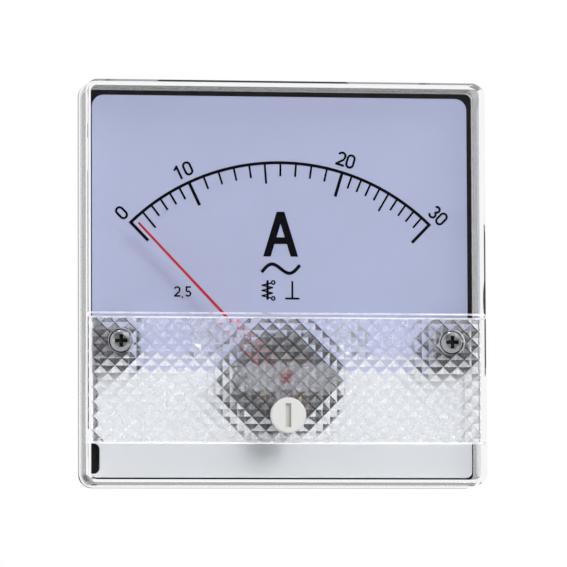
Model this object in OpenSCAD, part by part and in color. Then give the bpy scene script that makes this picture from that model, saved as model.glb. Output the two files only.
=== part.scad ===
// Square panel ammeter with a moving-iron movement.
// A clear cover is screwed over a black case, whose round barrel goes through the panel. The dial, the
// red pointer and the zero adjuster are in front; the coil, irons and damping disc are in the barrel.
// Millimetres. The origin is the centre of the panel seat, which is the rear of the case's flange.
// X is to the viewer's right, Z is up, and Y goes into the panel, so the front faces -Y.

/* [Cover] */
// Width and height of the cover's rear lip, which is the size of the bezel
cover_w = 80; // [79:0.5:84]
// Step from the lip to the cover's sides
lip_step = 0.3; // [0.2:0.05:0.6]
// Depth of the lip along the cover's sides
lip_depth = 2; // [1:0.5:4]
// Depth of the cover in front of the panel
cover_depth = 12; // [11.6:0.1:14]
// Thickness of the cover's side walls
cover_wall = 1.1; // [0.9:0.1:1.4]
// Thickness of the cover's window
window_t = 2; // [1.6:0.1:2.2]
// Radius of the cover's four long corners
corner_r = 2.4; // [1.8:0.1:3]
// Chamfer round the cover's front
edge_chamfer = 0.5; // [0.2:0.05:0.8]

/* [Prism band] */
// Top of the textured band of the window
band_top_z = -7; // [-8:0.1:-6.5]
// Bottom of the textured band of the window
band_bottom_z = -31.5; // [-33:0.1:-31]
// Distance between the band's grooves, which is the side of each pyramid
prism_pitch = 2; // [1.8:0.02:2.4]
// Depth of the grooves
prism_depth = 0.52; // [0.3:0.02:0.7]
// Width of the ridge left between two grooves
prism_land = 0.06; // [0.04:0.01:0.12]
// Width of the bead groove above the band, in the window's front
bead_w = 1.2; // [0.9:0.1:1.6]
// Depth of the bead groove
bead_depth = 0.35; // [0.2:0.05:0.5]
// Depth of the fine line below the band
line_depth = 0.2; // [0.1:0.05:0.3]

/* [Cover screws] */
// Distance from the bezel's side to each cover screw
cover_screw_inset = 7.2; // [6.8:0.1:7.6]
// Height of the cover screws
cover_screw_z = -11.6; // [-11.8:0.1:-11.4]
// Diameter of the screw's head
screw_head_d = 4.2; // [3.8:0.1:4.6]
// Height of the screw's head
screw_head_h = 1.2; // [1:0.1:1.3]
// Diameter of the screw's shank
screw_d = 2.2; // [2:0.1:2.5]
// Diameter of the counterbore round the head
counterbore_d = 5; // [4.8:0.1:5.4]
// Thickness left between the counterbore and the band's grooves
counterbore_web = 0.2; // [0.15:0.05:0.3]
// Outer diameter of the cover's screw bosses
boss_d = 4.6; // [4.4:0.1:4.8]
// Height of the case's posts above the flange
post_h = 4; // [3:0.1:5]
// Size of the case's posts along X
post_l = 8.9; // [8.4:0.1:9.2]
// Size of the case's posts along Z
post_w = 7.4; // [7:0.1:7.6]

/* [Case] */
// Thickness of the flange behind the dial
flange_t = 2; // [1.8:0.1:2.4]
// Gap between the flange and the cover's walls
flange_gap = 0.1; // [0.05:0.05:0.2]
// Outer diameter of the barrel
barrel_d = 64; // [63.6:0.1:68]
// Thickness of the barrel's wall
barrel_wall = 2; // [1.6:0.1:2.2]
// Distance from the panel seat to the barrel's rear
barrel_depth = 36.5; // [36:0.5:44]
// Thickness of the barrel's floor
floor_t = 2.5; // [2:0.1:3]
// Height of the barrier between the terminals
barrier_h = 6; // [4:0.5:8]
// Thickness of the barrier between the terminals
barrier_t = 1.8; // [1.2:0.1:2.4]

/* [Mounting studs] */
// Distance from the bezel's sides to the mounting studs
stud_inset = 8; // [7.5:0.1:8.5]
// Diameter of the mounting studs
stud_d = 3; // [2.5:0.5:4]
// Length of the mounting studs behind the panel seat
stud_length = 16; // [10:1:25]
// Diameter of the studs' shoulder in the flange
stud_shoulder_d = 3.6; // [3.2:0.1:4.4]
// Width of the studs' square heads
stud_head_w = 5.4; // [5:0.1:6]
// Thickness of the studs' heads
stud_head_t = 1; // [0.8:0.1:1.2]

/* [Dial] */
// Gap between the dial's edge and the flange's edge
dial_margin = 1; // [0.6:0.1:1.2]
// Thickness of the dial's sheet
dial_t = 0.4; // [0.3:0.05:0.6]
// Bottom edge of the dial
dial_bottom_z = -15.3; // [-15.5:0.1:-15.1]
// Radius of the dial's top corners
dial_corner_r = 2.3; // [1:0.1:4]
// Radius of the dial's opening round the movement
opening_r = 11.2; // [11:0.1:11.6]
// Thickness of the print
print_t = 0.05; // [0.03:0.01:0.1]
// How far the radius of the scale's arc is longer than half the bezel
scale_reach = 2.9; // [1:0.1:4]
// Width of the scale's arc and of its long marks
scale_line_w = 0.6; // [0.4:0.02:0.7]
// Width of the middle and short marks
short_line_w = 0.4; // [0.2:0.02:0.5]
// Length of the marks with numbers
long_mark = 5.3; // [4:0.1:6]
// Length of the marks halfway between them
middle_mark = 4.4; // [3:0.1:4.8]
// Length of the marks for one ampere
short_mark = 3; // [2:0.1:3.5]
// Height of the scale's numbers
number_h = 2.9; // [2.4:0.1:3.4]
// Width of the line that draws the numbers
number_line_w = 0.44; // [0.3:0.02:0.5]
// Distance from the arc to the middle of the numbers
number_offset = 2.6; // [2.4:0.1:3.4]
// Height of the unit letter
unit_h = 8.9; // [7:0.1:10]
// Width of the unit letter
unit_w = 7; // [6:0.1:8]
// Foot of the unit letter
unit_z = 5.75; // [5:0.05:7]

/* [Lower shield] */
// Thickness of the white shield below the dial
shield_t = 1; // [0.8:0.1:1.3]
// Gap between the shield and the cover's left wall
shield_left_gap = 0.7; // [0.4:0.1:2]
// Gap between the shield and the cover's right wall
shield_right_gap = 0.5; // [0.4:0.1:2]
// Gap between the shield and the cover's bottom wall
shield_bottom_gap = 0.6; // [0.3:0.1:2]
// Width of the notch in the shield's left edge, to lift it by
notch_w = 1.8; // [1:0.1:2.4]
// Height of the notch
notch_h = 6; // [4:0.5:6.5]
// Middle of the notch
notch_z = -34.3; // [-34.6:0.1:-33]
// Straight sill at the bottom of the shield's opening
shield_sill_z = -27.8; // [-28.6:0.1:-27.6]
// Gap between the dial and the shield
shield_gap = 0.15; // [0.1:0.05:0.3]

/* [Movement] */
// Height of the pointer's axis
pivot_z = -18.5; // [-18.7:0.05:-18.3]
// Diameter of the spindle
spindle_d = 1.2; // [1:0.05:1.4]
// Pointer's angle at rest, clockwise from straight up
rest_angle = -43.4; // [-44.5:0.1:-43]
// Distance from the pointer's tip to the scale's arc
pointer_gap = 1; // [0.5:0.1:2]
// Width of the pointer at its tip
pointer_tip_w = 0.4; // [0.3:0.05:0.6]
// Width of the pointer at its hub
pointer_root_w = 0.6; // [0.5:0.05:1]
// Thickness of the pointer's blade
blade_t = 0.3; // [0.2:0.05:0.4]
// Radius of the pointer's hub
hub_r = 1.5; // [1.3:0.1:1.8]
// Length of the pointer's hub
hub_l = 1.2; // [0.9:0.1:1.3]
// Length of the pointer's tail
tail_r = 7; // [6.8:0.1:7.2]
// Length of the pointer's side arms
arm_r = 4.6; // [4.2:0.1:4.8]
// Diameter of the balance weights
weight_d = 1.5; // [1.3:0.1:1.6]
// Length of the balance weights
weight_l = 1.2; // [0.8:0.1:1.4]
// Free gap between the window and the bridge's screw heads
front_gap = 0.45; // [0.3:0.05:0.6]
// Thickness of the front bridge
bridge_t = 0.8; // [0.6:0.05:1]
// Height of the front bridge along Z
bridge_w = 5; // [4:0.1:6]
// Distance from the axis to the bridge's pillars
pillar_x = 9.2; // [9:0.1:9.5]
// Diameter of the bridge's pillars
pillar_d = 3; // [2.6:0.1:3.2]
// Diameter of the jewel screws
jewel_screw_d = 2.6; // [2.4:0.1:3]
// Thickness of the movement frame
frame_t = 2.2; // [2:0.1:2.4]
// Radius at which the stop pins stand
stop_r = 6.5; // [6.3:0.05:6.6]
// Diameter of the stop pins
stop_d = 0.8; // [0.6:0.05:1]

/* [Zero adjuster] */
// Height of the zero adjuster
adjuster_z = -26.1; // [-26.4:0.1:-25.8]
// Diameter of the adjuster's disc
adjuster_d = 7; // [6.6:0.1:7.4]
// How far the disc stands in front of the window
adjuster_proud = 0.6; // [0.4:0.1:1]
// Depth of the disc's seat in the window
adjuster_seat = 0.5; // [0.3:0.05:0.7]
// Diameter of the adjuster's shank
shank_d = 3.4; // [3.2:0.1:3.8]
// Width of the adjuster's slot
slot_w = 1.1; // [0.8:0.05:1.4]
// Length of the adjuster's slot
slot_l = 4.7; // [4:0.1:5.2]
// Offset of the adjuster's pin from its axis
crank = 0.8; // [0.6:0.05:0.9]
// Diameter of the adjuster's pin
crank_pin_d = 1; // [0.8:0.05:1.1]
// Thickness of the zero lever
lever_t = 0.4; // [0.3:0.05:0.5]
// Outer radius of the hairspring
spring_r = 3.1; // [2.6:0.1:3.1]
// Turns of the hairspring
spring_turns = 4.5; // [3.5:0.5:5.5]
// Thickness of the hairspring's strip
spring_t = 0.12; // [0.08:0.01:0.16]

/* [Coil] */
// Gap between the coil former's flanges and the barrel
former_gap = 0.7; // [0.5:0.1:0.8]
// Thickness of the coil former's tube
former_wall = 1; // [0.8:0.05:1]
// Thickness of the coil former's flanges
former_flange_t = 1.2; // [1:0.1:1.4]
// Length of the coil former
former_l = 15; // [14:0.5:16]
// Diameter of the coil's wire
wire_d = 2.2; // [2.1:0.02:2.24]
// Thickness of the irons
iron_t = 0.38; // [0.3:0.02:0.4]
// Length of the irons
iron_l = 9; // [7:0.5:10]
// Gap between the damping disc and the barrel
disc_gap = 0.5; // [0.4:0.1:1]
// Thickness of the damping disc
disc_t = 0.25; // [0.2:0.05:0.35]
// Gap in the damping magnet
magnet_gap = 1.2; // [1:0.1:1.4]
// Thickness of each damping magnet
magnet_t = 1.4; // [1:0.1:1.5]
// Thickness of the magnet's yoke
yoke_t = 0.8; // [0.6:0.1:0.9]
// Gap between the coil former's flanges and the rear bridge's legs
leg_gap = 2.2; // [1.8:0.1:2.4]
// Thickness of the rear bridge's strip
strip_t = 0.8; // [0.6:0.1:1]

/* [Terminals] */
// Distance between the terminals
terminal_pitch = 28; // [26:0.5:30]
// Height of the terminals
terminal_z = 8; // [7:0.5:10]
// Diameter of the terminal studs
terminal_d = 6; // [5.5:0.1:6.3]
// Width across the flats of the terminals' nuts
terminal_nut_w = 10; // [9.6:0.1:11]
// Thickness of the terminals' nuts
terminal_nut_t = 5; // [4:0.1:6]
// Thickness of the terminals' flat washers
terminal_washer_t = 1.2; // [0.8:0.1:1.6]
// Outer diameter of the terminals' flat washers
terminal_washer_d = 12; // [11.5:0.1:13]
// Thickness of the spring washers
spring_washer_t = 1.4; // [1:0.1:1.8]
// Length of the stud past the last nut
terminal_end = 4.7; // [3:0.1:7]
// Thickness of the coil's lugs
lug_t = 1; // [0.8:0.1:1.2]

/* [Hidden] */
$fn = 96;

// Clearances: a fixed pin in its hole, and a turning pin in its hole (both on the radius).
snug = 0.02;
running = 0.05;
// A cut runs this far past the face that it opens.
past = 1;

// Front of the meter, along Y.
cover_front_y = -cover_depth;
window_back_y = cover_front_y + window_t;
side_half = cover_w / 2 - lip_step;
cavity_half = side_half - cover_wall;
cavity_corner_r = corner_r - cover_wall;
flange_half = cavity_half - flange_gap;
dial_back_y = -flange_t;
dial_front_y = dial_back_y - dial_t;
dial_half = flange_half - dial_margin;
shield_front_y = dial_back_y - shield_t;
shield_left = cavity_half - shield_left_gap;
shield_right = cavity_half - shield_right_gap;
shield_bottom = cavity_half - shield_bottom_gap;
scale_r = cover_w / 2 + scale_reach;
pointer_r = scale_r - pointer_gap;
stud_pitch = cover_w - 2 * stud_inset;

// Cover screws, with their posts in the case and bosses in the cover.
cover_screw_x = cover_w / 2 - cover_screw_inset;
screw_hole_d = screw_d + 0.6;
screw_seat_y = window_back_y - prism_depth - counterbore_web;
post_front_y = -flange_t - post_h;
post_x = flange_half - post_l / 2;
screw_tip_y = -0.7;

// Stack from the window back to the pointer.
bridge_head_h = 0.7;
bridge_front_y = window_back_y + front_gap + bridge_head_h;
bridge_back_y = bridge_front_y + bridge_t;
lever_washer_t = 0.2;
lever_front_y = bridge_back_y + lever_washer_t;
lever_back_y = lever_front_y + lever_t;
jewel_screw_rear_y = lever_back_y + 0.1;
collet_front_y = jewel_screw_rear_y + 0.15;
collet_l = 0.6;
collet_r = 1;
hub_front_y = collet_front_y + collet_l;
hub_back_y = hub_front_y + hub_l;
blade_back_y = hub_front_y + hub_l / 2;
bridge_screw_d = 1.4;
front_nut_t = 0.5;

// Zero lever: its fork reaches past the adjuster's pin.
lever_reach = pivot_z - adjuster_z + 1.2;
lever_ring_r = 2.6;
fork_gap = 0.1;
spring_tab_t = 0.5;

// Jewels: a cone-shaped cup for the spindle's pointed end.
jewel_d = 1.5;
jewel_t = 0.6;
cup_r = 0.55;
cup_depth = 0.4;
pivot_tip_l = 0.35;
pivot_tip_r = 0.3;
pivot_gap = 0.05;

// Stack from the movement frame back to the rear bridge.
frame_back_y = dial_back_y + frame_t;
former_back_y = frame_back_y + former_l;
gap_mid_y = former_back_y + yoke_t + magnet_t + magnet_gap / 2;
yoke_back_y = gap_mid_y + magnet_gap / 2 + magnet_t + yoke_t;
rear_strap_y = yoke_back_y + 0.4;
rear_strap_back_y = rear_strap_y + strip_t;
rear_screw_front_y = rear_strap_y - 0.9;
rear_screw_back_y = rear_strap_back_y + 1.4;
rear_nut_t = 0.8;
strap_half = 3;
barrel_inner_r = barrel_d / 2 - barrel_wall;
former_flange_r = barrel_inner_r + pivot_z - former_gap;
disc_r = barrel_inner_r + pivot_z - disc_gap;
leg_x = former_flange_r + leg_gap;
foot_screw_x = leg_x + 3.2;
foot_end_x = leg_x + 5.2;
small_screw_d = 2;
frame_screw_d = 2.4;
frame_screw_x = 21;
frame_screw_z = -8;
frame_half = 25;
frame_top_z = -4.5;
frame_bottom_z = -29;
case_pillar_d = 6;
dial_screw_x = 14.5;
dial_screw_z = -10.5;
floor_y = barrel_depth - floor_t;

// Coil and magnet.
wire_r = wire_d / 2;
layer_step = 0.93 * wire_d;
core_r = former_flange_r - 0.33 - 2 * wire_r - layer_step;
former_bore_r = core_r - former_wall;
coil_front_y = frame_back_y + former_flange_t + wire_r + snug;
coil_back_y = former_back_y - former_flange_t - wire_r - snug;
layer_r = [core_r + wire_r + snug, core_r + wire_r + snug + layer_step];
turns_per_layer = floor((coil_back_y - coil_front_y) / (0.96 * wire_d)) + 1;
fixed_iron_r = former_bore_r - 0.05;
moving_iron_r = fixed_iron_r - iron_t - 0.5;
iron_front_y = frame_back_y + 3;
magnet_w = 6;
magnet_top_z = pivot_z + disc_r + 0.3;
magnet_bottom_z = magnet_top_z - 4.5;
yoke_top_z = magnet_top_z + 3.3;
rivet_d = 1.2;
rivet_x = 2.2;
rivet_z = magnet_top_z + 1.3;

// Terminals, from the coil's lug out to the stud's end.
terminal_x = terminal_pitch / 2;
terminal_head_t = 3.2;
lug_front_y = floor_y - lug_t;
terminal_head_y = lug_front_y - terminal_head_t;
clamp_nut_y = barrel_depth + terminal_washer_t;
lug_washer_y = clamp_nut_y + terminal_nut_t;
spring_washer_y = lug_washer_y + terminal_washer_t;
lug_nut_y = spring_washer_y + spring_washer_t;
terminal_end_y = lug_nut_y + terminal_nut_t + terminal_end;
lug_barrel_r = wire_r + 0.6;
lug_barrel_y = floor_y - lug_barrel_r;
lug_barrel_top_z = terminal_z - terminal_washer_d / 2 - 2.5;
lug_barrel_l = 4;
lead_z = -7;

// Where each value stands on the scale: angle from straight up, clockwise.
scale_angles = [[0, -44.1], [5, -39.9], [10, -25.2], [20, 16.8], [30, 44.1]];
function scale_angle(v) = lookup(v, scale_angles);

// The pointer may swing a little past both ends of the scale before its tail meets a stop pin.
overswing_low = 5;
overswing_high = 6;
scale_span = 88;
tail_half_angle = asin((weight_d / 2 + stop_d / 2) / stop_r) + 0.6;
stop_angles = [
    rest_angle + 180 - overswing_low - tail_half_angle,
    rest_angle + 180 + scale_span + overswing_high + tail_half_angle
];

// ---- Shared shapes ----

// Extrudes a drawing of X and Z from y_back towards the viewer.
module slab(y_back, depth) {
    translate([0, y_back, 0])
        rotate([90, 0, 0])
            linear_extrude(depth)
                children();
}

// Rod along Y from y_front to y_back.
module rod(d, y_front, y_back) {
    translate([0, y_back, 0])
        rotate([90, 0, 0])
            cylinder(d = d, h = y_back - y_front);
}

// Cone along Y, with a diameter at each end.
module cone(d_front, d_back, y_front, y_back) {
    translate([0, y_back, 0])
        rotate([90, 0, 0])
            cylinder(d1 = d_back, d2 = d_front, h = y_back - y_front);
}

// Turned about Y: each point is [radius, y].
module turned(points) {
    rotate([90, 0, 0])
        rotate_extrude()
            polygon([for (p = points) [p[0], -p[1]]]);
}

// Flat ring along Y.
module ring(d_outer, d_inner, y_front, y_back) {
    turned([
        [d_inner / 2, y_front], [d_outer / 2, y_front],
        [d_outer / 2, y_back], [d_inner / 2, y_back]
    ]);
}

// Part of a tube along Y, centred on an angle clockwise from straight up.
module tube_sector(r_outer, t, span, middle, y_front, y_back) {
    rotate([90, 0, 0])
        rotate([0, 0, 90 - middle - span / 2])
            rotate_extrude(angle = span)
                polygon([
                    [r_outer - t, -y_back], [r_outer, -y_back],
                    [r_outer, -y_front], [r_outer - t, -y_front]
                ]);
}

// Hexagon nut along Y, with a hole that clears its screw.
module nut(across, d_hole, y_front, y_back) {
    difference() {
        rod(across / cos(30), y_front, y_back, $fn = 6);
        rod(d_hole, y_front - past, y_back + past, $fn = 96);
    }
}

// Square with rounded corners, drawn about the origin.
module round_square(w, h, r) {
    square([w - 2 * r, h], center = true);
    square([w, h - 2 * r], center = true);
    for (sx = [-1, 1], sy = [-1, 1])
        translate([sx * (w / 2 - r), sy * (h / 2 - r)])
            circle(r);
}

// Block with round long corners and a chamfer round its front, from y = 0 to -depth.
module chamfered_block(half, r, depth, c) {
    side = [[-half, 0], [half, 0], [half, -depth + c], [half - c, -depth], [-half + c, -depth],
        [-half, -depth + c]];
    translate([0, 0, r - half])
        linear_extrude(2 * (half - r))
            polygon(side);
    rotate([0, 90, 0])
        translate([0, 0, r - half])
            linear_extrude(2 * (half - r))
                polygon(side);
    for (sx = [-1, 1], sz = [-1, 1])
        translate([sx * (half - r), 0, sz * (half - r)])
            turned([[0, 0], [r, 0], [r, -depth + c], [r - c, -depth], [0, -depth]]);
}

// Copies to the left and right of the middle.
module both_sides(x, z) {
    for (side = [-1, 1])
        translate([side * x, 0, z])
            children();
}

module at_pivot() {
    translate([0, 0, pivot_z])
        children();
}

module at_adjuster() {
    translate([0, 0, adjuster_z])
        children();
}

// Round bar between two points; the ball at its end is a hair wider, as a bend is.
module bar(p, q, d) {
    v = q - p;
    l = norm(v);
    translate(p)
        rotate([0, acos(v[2] / l), atan2(v[1], v[0])])
            cylinder(d = d, h = l);
    translate(q)
        sphere(d = d + 0.04);
}

// ---- Cover ----

// One V-shaped groove in the window's rear face.
module prism_groove(length) {
    w = prism_pitch - prism_land;
    translate([0, 0, -length / 2])
        linear_extrude(length)
            polygon([
                [-w / 2, window_back_y], [0, window_back_y - prism_depth], [w / 2, window_back_y],
                [w / 2, window_back_y + 0.2], [-w / 2, window_back_y + 0.2]
            ]);
}

module prism_grooves() {
    band_w = 2 * cavity_half;
    band_h = band_top_z - band_bottom_z;
    reach = (band_w + band_h) / sqrt(2);
    n = ceil(reach / prism_pitch / 2);
    intersection() {
        translate([-cavity_half, window_back_y - prism_depth - past, band_bottom_z])
            cube([band_w, prism_depth + 2 * past, band_h]);
        translate([0, 0, (band_top_z + band_bottom_z) / 2])
            for (tilt = [-45, 45], i = [-n : n])
                rotate([0, tilt, 0])
                    translate([i * prism_pitch, 0, 0])
                        prism_groove(reach);
    }
}

module front_cover() {
    color([0.93, 0.94, 0.97, 0.4])
        difference() {
            union() {
                difference() {
                    union() {
                        chamfered_block(side_half, corner_r, cover_depth, edge_chamfer);
                        slab(0, lip_depth)
                            round_square(cover_w, cover_w, corner_r + lip_step);
                    }
                    slab(past, past - window_back_y)
                        round_square(2 * cavity_half, 2 * cavity_half, cavity_corner_r);
                    difference() {
                        prism_grooves();
                        both_sides(cover_screw_x, cover_screw_z)
                            rod(boss_d, cover_front_y, 0);
                        at_adjuster()
                            rod(adjuster_d, cover_front_y, 0);
                    }
                }
                both_sides(cover_screw_x, cover_screw_z)
                    rod(boss_d, window_back_y - 0.5, post_front_y);
            }
            both_sides(cover_screw_x, cover_screw_z) {
                rod(counterbore_d, cover_front_y - past, screw_seat_y);
                rod(screw_hole_d, screw_seat_y - past, post_front_y + past);
            }
            at_adjuster() {
                rod(adjuster_d + 0.3, cover_front_y - past, cover_front_y + adjuster_seat);
                rod(shank_d + 2 * running, cover_front_y, window_back_y + past);
            }
            front_lines();
        }
}

// The bead groove above the band and the fine line below it, in the window's front.
module front_lines() {
    front_line(band_top_z + bead_w / 2 - 0.15, bead_w, bead_depth);
    front_line(band_bottom_z, 2 * line_depth, line_depth);
}

// Groove across the window's front, with 45 degree sides.
module front_line(z, w, depth) {
    flat = w / 2 - depth;
    floor_points = flat > 0 ? [[depth, -flat], [depth, flat]] : [[depth, 0]];
    translate([-side_half - past, cover_front_y, z])
        rotate([90, 0, 90])
            linear_extrude(2 * (side_half + past))
                polygon(concat([[-depth, w / 2 + depth], [-depth, -w / 2 - depth]], floor_points));
}

module cover_screws() {
    color("silver")
        both_sides(cover_screw_x, cover_screw_z)
            difference() {
                turned([
                    [0, screw_seat_y - screw_head_h], [screw_head_d * 0.3, screw_seat_y - screw_head_h],
                    [screw_head_d * 0.43, screw_seat_y - screw_head_h * 0.78],
                    [screw_head_d / 2, screw_seat_y - screw_head_h * 0.35],
                    [screw_head_d / 2, screw_seat_y], [screw_d / 2, screw_seat_y],
                    [screw_d / 2, screw_tip_y - 0.6], [screw_d / 4, screw_tip_y], [0, screw_tip_y]
                ]);
                cross_recess(2.5, 0.72, screw_seat_y - screw_head_h, 1);
            }
}

// Cross-shaped driver recess.
module cross_recess(length, w, y_front, depth) {
    for (size = [[length, w], [w, length]])
        translate([-size[0] / 2, y_front - past, -size[1] / 2])
            cube([size[0], depth + past, size[1]]);
}

// ---- Zero adjuster ----

module zero_adjuster() {
    disc_back_y = cover_front_y + adjuster_seat;
    disc_front_y = cover_front_y - adjuster_proud;
    end_y = clip_back_y() + 0.25;
    color([0.93, 0.93, 0.92])
        at_adjuster()
            difference() {
                union() {
                    turned([
                        [0, disc_front_y], [adjuster_d / 2 - 0.2, disc_front_y],
                        [adjuster_d / 2, disc_front_y + 0.2], [adjuster_d / 2, disc_back_y],
                        [shank_d / 2, disc_back_y], [shank_d / 2, clip_front_y()],
                        [clip_groove_r(), clip_front_y()], [clip_groove_r(), clip_back_y()],
                        [shank_d / 2, clip_back_y()], [shank_d / 2, end_y], [0, end_y]
                    ]);
                    translate([0, 0, crank])
                        rod(crank_pin_d, end_y - 0.2, lever_back_y + 0.2);
                }
                translate([-slot_w / 2, disc_front_y - past, -slot_l / 2])
                    cube([slot_w, past + 0.8, slot_l]);
            }
}

function clip_groove_r() = shank_d / 2 - 0.25;
function clip_front_y() = window_back_y + 0.1;
function clip_back_y() = clip_front_y() + 0.3;

module adjuster_clip() {
    color("silver")
        at_adjuster()
            difference() {
                ring(shank_d + 2.6, 2 * clip_groove_r() + 2 * snug, clip_front_y() + 0.02,
                    clip_back_y() - 0.02);
                translate([-0.7, clip_front_y() - past, -shank_d - past])
                    cube([1.4, 2 * past + 0.4, shank_d + past]);
            }
}

// ---- Case ----

module case() {
    color([0.08, 0.08, 0.09])
        difference() {
            union() {
                slab(0, flange_t)
                    round_square(2 * flange_half, 2 * flange_half, cavity_corner_r);
                rod(barrel_d, 0, barrel_depth);
                both_sides(post_x, cover_screw_z)
                    screw_post();
                translate([-barrier_t / 2, barrel_depth - past, terminal_z - 10])
                    cube([barrier_t, barrier_h + past, 20]);
            }
            difference() {
                rod(2 * barrel_inner_r, -flange_t - past, floor_y);
                both_sides(frame_screw_x, frame_screw_z)
                    rod(case_pillar_d, frame_back_y, floor_y + past);
            }
            both_sides(frame_screw_x, frame_screw_z)
                rod(frame_screw_d + 2 * snug, frame_back_y - past, frame_back_y + 8.5);
            both_sides(cover_screw_x, cover_screw_z)
                rod(screw_d + 2 * snug, post_front_y - past, screw_tip_y + 0.1);
            both_sides(terminal_x, terminal_z)
                rod(terminal_d + 0.3, floor_y - past, barrel_depth + past);
            for (z = [-1, 1])
                both_sides(stud_pitch / 2, z * stud_pitch / 2) {
                    rod(stud_shoulder_d + 2 * snug, -flange_t - past, past);
                    slab(stud_head_t - flange_t + 0.1, stud_head_t + 0.1 + past)
                        square(stud_head_w + 0.2, center = true);
                }
            both_sides(peg_x, peg_z)
                rod(peg_d + 2 * snug, -flange_t - past, peg_l - flange_t + 0.1);
        }
}

// Square post under each cover screw; it reaches out to the flange's edge.
module screw_post() {
    slab(-past, post_h + flange_t - past)
        square([post_l, post_w], center = true);
}

// Pegs of the lower shield, in the flange.
peg_d = 2.2;
peg_l = 1.2;
peg_x = shield_right - 7;
peg_z = -21;

module mounting_studs() {
    color("silver")
        for (z = [-1, 1])
            both_sides(stud_pitch / 2, z * stud_pitch / 2) {
                slab(stud_head_t - flange_t + 0.05, stud_head_t)
                    square(stud_head_w, center = true);
                turned([
                    [0, stud_head_t - flange_t], [stud_shoulder_d / 2, stud_head_t - flange_t],
                    [stud_shoulder_d / 2, -0.05], [stud_d / 2, -0.05], [stud_d / 2, stud_length - 0.5],
                    [stud_d / 2 - 0.4, stud_length], [0, stud_length]
                ]);
            }
}

// ---- Dial ----

module dial_plate() {
    color([0.69, 0.72, 0.84])
        slab(dial_back_y, dial_t)
            difference() {
                dial_outline();
                translate([0, pivot_z])
                    circle(opening_r);
                for (side = [-1, 1]) {
                    translate([side * dial_screw_x, dial_screw_z])
                        circle((small_screw_d + 0.3) / 2);
                    translate([side * post_x, cover_screw_z])
                        square([post_l + 0.2, post_w + 0.2], center = true);
                }
            }
}

// Sheet with two round top corners.
module dial_outline() {
    h = dial_half - dial_bottom_z;
    r = dial_corner_r;
    translate([-dial_half, dial_bottom_z])
        square([2 * dial_half, h - r]);
    translate([-dial_half + r, dial_bottom_z])
        square([2 * (dial_half - r), h]);
    for (side = [-1, 1])
        translate([side * (dial_half - r), dial_half - r])
            circle(r);
}

module dial_screws() {
    color("silver")
        both_sides(dial_screw_x, dial_screw_z)
            difference() {
                turned([
                    [0, dial_front_y - 1.1], [1.4, dial_front_y - 1.1], [1.8, dial_front_y - 0.7],
                    [1.8, dial_front_y], [small_screw_d / 2, dial_front_y],
                    [small_screw_d / 2, frame_back_y - 0.4], [0, frame_back_y - 0.4]
                ]);
                translate([-2, dial_front_y - 1.1 - past, -0.25])
                    cube([4, past + 0.6, 0.5]);
            }
}

module dial_print() {
    color([0.07, 0.07, 0.1])
        slab(dial_front_y, print_t) {
            translate([0, pivot_z])
                scale_drawing();
            translate([0, unit_z])
                unit_letter();
            translate([0, 3.35])
                wave_symbol();
            translate([-2.3, -0.9])
                coil_symbol();
            translate([2.3, -0.9])
                upright_symbol();
            translate([-19.6, -1.3])
                class_number();
        }
}

// Arc, marks and numbers about the pointer's axis.
module scale_drawing() {
    arc_line(scale_r, scale_line_w, 90 - scale_angle(30), 90 - scale_angle(0));
    for (v = [0, 10, 20, 30])
        mark(v, long_mark, scale_line_w);
    for (v = [5, 15, 25])
        mark(v, middle_mark, short_line_w);
    for (v = [6, 7, 8, 9, 11, 12, 13, 14, 16, 17, 18, 19, 21, 22, 23, 24, 26, 27, 28, 29])
        mark(v, short_mark, short_line_w);
    for (tens = [0 : 3])
        rotate(-scale_angle(10 * tens))
            translate([0, scale_r + number_offset])
                scale_number(tens);
}

// Mark inwards from the arc.
module mark(v, length, w) {
    rotate(-scale_angle(v))
        translate([-w / 2, scale_r + scale_line_w / 2 - length])
            square([w, length - 0.01]);
}

// Ring of a width, between two angles that are less than a half turn apart.
module arc_line(r, w, from, to) {
    far = 3 * (r + w);
    middle = (from + to) / 2;
    intersection() {
        difference() {
            circle(r + w / 2, $fn = 180);
            circle(r - w / 2, $fn = 180);
        }
        polygon([
            [0, 0], far * [cos(from), sin(from)], far * [cos(middle), sin(middle)],
            far * [cos(to), sin(to)]
        ]);
    }
}

// Zero alone, or a ten, twenty or thirty.
module scale_number(tens) {
    if (tens == 0) {
        digit(0, number_h);
    } else {
        translate([-0.33 * number_h, 0])
            digit(tens, number_h);
        translate([0.33 * number_h, 0])
            digit(0, number_h);
    }
}

// Straight stroke between two points.
module stroke(p, q, w) {
    v = q - p;
    translate(p)
        rotate(atan2(v[1], v[0]))
            translate([0, -w / 2])
                square([norm(v), w]);
}

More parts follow.
